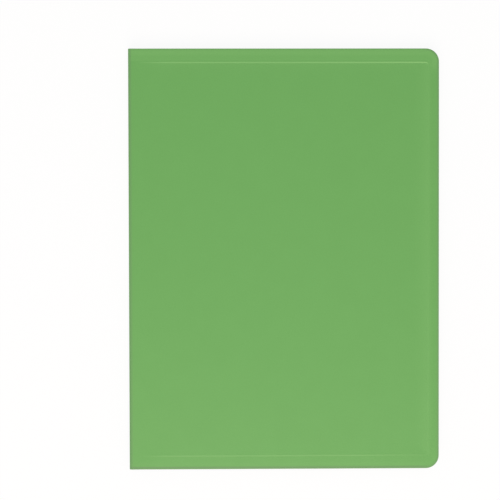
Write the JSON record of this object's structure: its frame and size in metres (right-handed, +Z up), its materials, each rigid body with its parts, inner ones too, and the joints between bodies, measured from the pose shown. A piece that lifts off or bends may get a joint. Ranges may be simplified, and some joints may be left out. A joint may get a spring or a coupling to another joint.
{
  "type": "stamp album",
  "caption": "Soft-cover stamp album: green plastic cover with two scored spine folds, black card leaves on cloth hinges, clear pocket strips and glassine interleaves.",
  "frame": {"origin": "middle of the album's underside, lying closed on its back cover", "axes": "+X from the spine to the fore edge, +Y from the tail to the head, +Z up through the front cover"},
  "size_m": [0.225, 0.305, 0.0095],
  "materials": {
    "cover_sheet": "satin",
    "stock_card": "matte",
    "pocket_film": "gloss",
    "glassine": "satin",
    "hinge_cloth": "matte",
    "binding": "matte"
  },
  "bodies": {
    "back_cover": {"back_cover": "cover_sheet", "rear_living_hinge": "cover_sheet"},
    "spine": {"spine_panel": "cover_sheet", "front_living_hinge": "cover_sheet", "binding_strip": "binding"},
    "front_cover": {"front_cover": "cover_sheet"},
    "leaf_1": {"leaf_1_card": "stock_card", "leaf_1_hinge": "hinge_cloth", "leaf_1_front_strips": "pocket_film", "leaf_1_back_strips": "pocket_film"},
    "leaf_2": {"leaf_2_card": "stock_card", "leaf_2_hinge": "hinge_cloth", "leaf_2_front_strips": "pocket_film", "leaf_2_back_strips": "pocket_film"},
    "leaf_3": {"leaf_3_card": "stock_card", "leaf_3_hinge": "hinge_cloth", "leaf_3_front_strips": "pocket_film", "leaf_3_back_strips": "pocket_film"},
    "leaf_4": {"leaf_4_card": "stock_card", "leaf_4_hinge": "hinge_cloth", "leaf_4_front_strips": "pocket_film", "leaf_4_back_strips": "pocket_film"},
    "leaf_5": {"leaf_5_card": "stock_card", "leaf_5_hinge": "hinge_cloth", "leaf_5_front_strips": "pocket_film", "leaf_5_back_strips": "pocket_film"},
    "leaf_6": {"leaf_6_card": "stock_card", "leaf_6_hinge": "hinge_cloth", "leaf_6_front_strips": "pocket_film", "leaf_6_back_strips": "pocket_film"},
    "leaf_7": {"leaf_7_card": "stock_card", "leaf_7_hinge": "hinge_cloth", "leaf_7_front_strips": "pocket_film", "leaf_7_back_strips": "pocket_film"},
    "leaf_8": {"leaf_8_card": "stock_card", "leaf_8_hinge": "hinge_cloth", "leaf_8_front_strips": "pocket_film", "leaf_8_back_strips": "pocket_film"},
    "interleaf_1": {"interleaf_1": "glassine"},
    "interleaf_2": {"interleaf_2": "glassine"},
    "interleaf_3": {"interleaf_3": "glassine"},
    "interleaf_4": {"interleaf_4": "glassine"},
    "interleaf_5": {"interleaf_5": "glassine"},
    "interleaf_6": {"interleaf_6": "glassine"},
    "interleaf_7": {"interleaf_7": "glassine"}
  },
  "joints": [
    {"name": "spine_fold", "type": "hinge", "parent": "back_cover", "child": "spine", "pos_m": [-0.11184, 0, 0.00066], "axis": [0, -1, 0], "range_deg": [0, 90], "deforming": ["rear_living_hinge"]},
    {"name": "front_cover_fold", "type": "hinge", "parent": "spine", "child": "front_cover", "pos_m": [-0.11184, 0, 0.00886], "axis": [0, -1, 0], "range_deg": [0, 90], "deforming": ["front_living_hinge"]},
    {"name": "leaf_1_turn", "type": "hinge", "parent": "spine", "child": "leaf_1", "pos_m": [-0.111, 0, 0.00826], "axis": [0, -1, 0], "range_deg": [0, 89], "deforming": ["leaf_1_hinge"]},
    {"name": "leaf_2_turn", "type": "hinge", "parent": "spine", "child": "leaf_2", "pos_m": [-0.11, 0, 0.00726], "axis": [0, -1, 0], "range_deg": [0, 87.4], "deforming": ["leaf_2_hinge"]},
    {"name": "leaf_3_turn", "type": "hinge", "parent": "spine", "child": "leaf_3", "pos_m": [-0.109, 0, 0.00626], "axis": [0, -1, 0], "range_deg": [0, 85.4], "deforming": ["leaf_3_hinge"]},
    {"name": "leaf_4_turn", "type": "hinge", "parent": "spine", "child": "leaf_4", "pos_m": [-0.108, 0, 0.00526], "axis": [0, -1, 0], "range_deg": [0, 83], "deforming": ["leaf_4_hinge"]},
    {"name": "leaf_5_turn", "type": "hinge", "parent": "spine", "child": "leaf_5", "pos_m": [-0.108, 0, 0.00426], "axis": [0, -1, 0], "range_deg": [-83, 0], "deforming": ["leaf_5_hinge"]},
    {"name": "leaf_6_turn", "type": "hinge", "parent": "spine", "child": "leaf_6", "pos_m": [-0.109, 0, 0.00326], "axis": [0, -1, 0], "range_deg": [-85.4, 0], "deforming": ["leaf_6_hinge"]},
    {"name": "leaf_7_turn", "type": "hinge", "parent": "spine", "child": "leaf_7", "pos_m": [-0.11, 0, 0.00226], "axis": [0, -1, 0], "range_deg": [-87.4, 0], "deforming": ["leaf_7_hinge"]},
    {"name": "leaf_8_turn", "type": "hinge", "parent": "spine", "child": "leaf_8", "pos_m": [-0.111, 0, 0.00126], "axis": [0, -1, 0], "range_deg": [-89, 0], "deforming": ["leaf_8_hinge"]},
    {"name": "interleaf_1_turn", "type": "hinge", "parent": "leaf_2", "child": "interleaf_1", "pos_m": [-0.0955, 0, 0.00772], "axis": [0, -1, 0], "range_deg": [0, 0.80001]},
    {"name": "interleaf_2_turn", "type": "hinge", "parent": "leaf_3", "child": "interleaf_2", "pos_m": [-0.0955, 0, 0.00672], "axis": [0, -1, 0], "range_deg": [0, 1]},
    {"name": "interleaf_3_turn", "type": "hinge", "parent": "leaf_4", "child": "interleaf_3", "pos_m": [-0.0955, 0, 0.00572], "axis": [0, -1, 0], "range_deg": [0, 1.2]},
    {"name": "interleaf_4_turn", "type": "hinge", "parent": "leaf_5", "child": "interleaf_4", "pos_m": [-0.0955, 0, 0.00472], "axis": [0, -1, 0], "range_deg": [0, 165.5]},
    {"name": "interleaf_5_turn", "type": "hinge", "parent": "leaf_6", "child": "interleaf_5", "pos_m": [-0.0955, 0, 0.00372], "axis": [0, -1, 0], "range_deg": [0, 1.2]},
    {"name": "interleaf_6_turn", "type": "hinge", "parent": "leaf_7", "child": "interleaf_6", "pos_m": [-0.0955, 0, 0.00272], "axis": [0, -1, 0], "range_deg": [0, 1]},
    {"name": "interleaf_7_turn", "type": "hinge", "parent": "leaf_8", "child": "interleaf_7", "pos_m": [-0.0955, 0, 0.00172], "axis": [0, -1, 0], "range_deg": [0, 0.80001]}
  ],
  "couplings": [
    {"joint": "front_cover_fold", "follows": "spine_fold", "ratio": 1},
    {"joint": "leaf_1_turn", "follows": "spine_fold", "ratio": 0.98889},
    {"joint": "leaf_2_turn", "follows": "spine_fold", "ratio": 0.97111},
    {"joint": "leaf_3_turn", "follows": "spine_fold", "ratio": 0.94889},
    {"joint": "leaf_4_turn", "follows": "spine_fold", "ratio": 0.92222},
    {"joint": "leaf_5_turn", "follows": "spine_fold", "ratio": -0.92222},
    {"joint": "leaf_6_turn", "follows": "spine_fold", "ratio": -0.94889},
    {"joint": "leaf_7_turn", "follows": "spine_fold", "ratio": -0.97111},
    {"joint": "leaf_8_turn", "follows": "spine_fold", "ratio": -0.98889},
    {"joint": "interleaf_1_turn", "follows": "spine_fold", "ratio": 0.0088889},
    {"joint": "interleaf_2_turn", "follows": "spine_fold", "ratio": 0.011111},
    {"joint": "interleaf_3_turn", "follows": "spine_fold", "ratio": 0.013333},
    {"joint": "interleaf_4_turn", "follows": "spine_fold", "ratio": 1.8389},
    {"joint": "interleaf_5_turn", "follows": "spine_fold", "ratio": 0.013333},
    {"joint": "interleaf_6_turn", "follows": "spine_fold", "ratio": 0.011111},
    {"joint": "interleaf_7_turn", "follows": "spine_fold", "ratio": 0.0088889}
  ]
}
